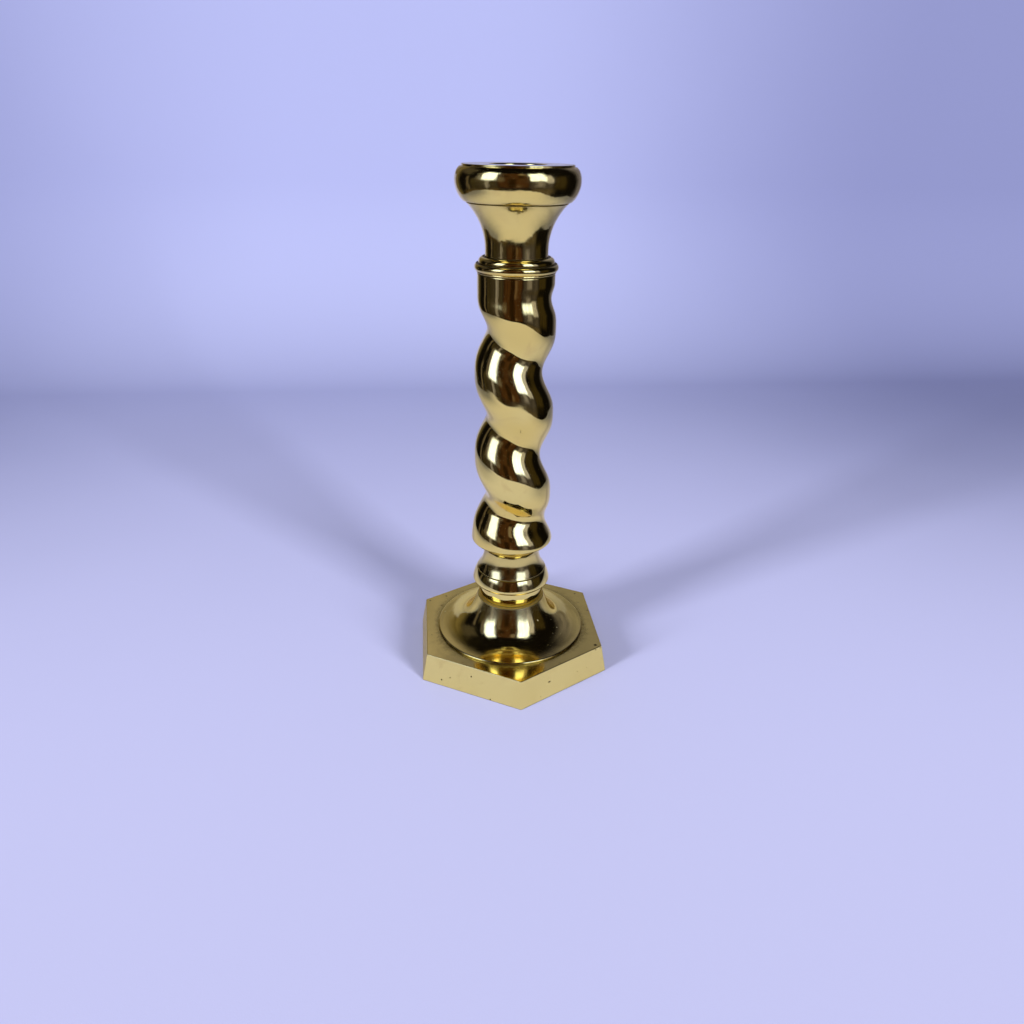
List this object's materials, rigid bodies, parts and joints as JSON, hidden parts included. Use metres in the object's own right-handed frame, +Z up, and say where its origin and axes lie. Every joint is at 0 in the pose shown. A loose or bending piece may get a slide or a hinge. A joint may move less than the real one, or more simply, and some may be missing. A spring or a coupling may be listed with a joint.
{
  "type": "candlestick",
  "caption": "Polished brass barley twist candlestick: bead-rimmed candle cup, collar ring, left-hand twisted column, bell knop and trumpet foot on a hexagonal plinth, held by a tie rod.",
  "frame": {"origin": "middle of the plinth's underside, on the column's axis, at the level of the table", "axes": "+Z up along the column and the candle; -Y the front, towards one corner of the plinth; +X right"},
  "size_m": [0.0904, 0.1044, 0.229],
  "materials": {
    "polished_brass": "mirror polished",
    "cast_brass": "linished and polished, cast and unpolished underneath",
    "steel": "zinc plated",
    "spring_steel": "blackened"
  },
  "bodies": {
    "root": {"candle_cup": "polished_brass", "collar_ring": "polished_brass", "twist_stem": "polished_brass", "knop": "polished_brass", "domed_foot": "polished_brass", "hex_plinth": "cast_brass", "tie_rod": "steel", "plate_washer": "steel", "spring_washer": "spring_steel", "base_nut": "steel"}
  },
  "joints": []
}
